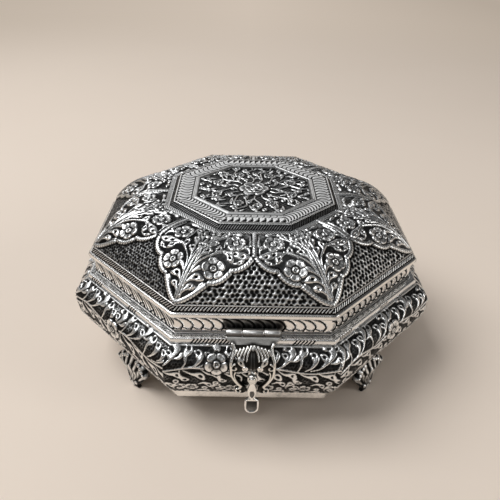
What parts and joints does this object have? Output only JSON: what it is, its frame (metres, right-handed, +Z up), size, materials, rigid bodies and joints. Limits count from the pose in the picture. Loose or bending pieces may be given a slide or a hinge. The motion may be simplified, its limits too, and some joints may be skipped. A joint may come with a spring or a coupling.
{
  "type": "dry fruit box",
  "caption": "Octagonal footed metal box with a bulging wall, a domed hinged lid chased with petals, and a hasp that drops over a post with a turning peg.",
  "frame": {"origin": "centre of the bounding box's footprint, on the plane the feet stand on", "axes": "+X to the right along the long side, +Y towards the hinges at the back, +Z up; the hasp faces -Y"},
  "size_m": [0.2214, 0.2079, 0.1078],
  "materials": {
    "silver": "oxidised and rubbed bright on the high points",
    "bright_silver": "polished",
    "dark_silver": "oxidised",
    "liner_steel": "satin"
  },
  "bodies": {
    "base": {"base_floor": "dark_silver", "base_band": "bright_silver", "base_wall": "silver", "base_rim": "bright_silver", "base_liner": "liner_steel", "divider_long": "liner_steel", "divider_cross": "liner_steel", "foot_front_left": "silver", "foot_front_right": "silver", "foot_rear_left": "silver", "foot_rear_right": "silver", "hinge_left_base_leaf": "dark_silver", "hinge_left_pin": "bright_silver", "hinge_right_base_leaf": "dark_silver", "hinge_right_pin": "bright_silver", "staple_post": "bright_silver"},
    "lid": {"lid_skirt": "silver", "lid_lip": "bright_silver", "lid_border": "dark_silver", "lid_dome": "silver", "lid_ledge": "bright_silver", "lid_top_frame": "bright_silver", "lid_inner_border": "bright_silver", "lid_medallion": "dark_silver", "lid_rosette": "silver", "hinge_left_lid_leaf": "dark_silver", "hinge_left_rivet_left": "bright_silver", "hinge_left_rivet_right": "bright_silver", "hinge_right_lid_leaf": "dark_silver", "hinge_right_rivet_left": "bright_silver", "hinge_right_rivet_right": "bright_silver", "hasp_lid_leaf": "silver", "hasp_pin": "bright_silver"},
    "hasp": {"hasp_plate": "silver", "hasp_boss_left": "bright_silver", "hasp_boss_right": "bright_silver"},
    "peg": {"turn_peg": "bright_silver"}
  },
  "joints": [
    {"name": "lid_hinge", "type": "hinge", "parent": "base", "child": "lid", "pos_m": [0, 0.098, 0.064], "axis": [-1, 0, 0], "range_deg": [0, 100]},
    {"name": "hasp_hinge", "type": "hinge", "parent": "lid", "child": "hasp", "pos_m": [0, -0.0873, 0.067], "axis": [-1, 0, 0], "range_deg": [0, 120]},
    {"name": "peg_swivel", "type": "hinge", "parent": "base", "child": "peg", "pos_m": [0, -0.1011, 0.0476], "axis": [0, 1, 0], "range_deg": [-90, 90]}
  ]
}
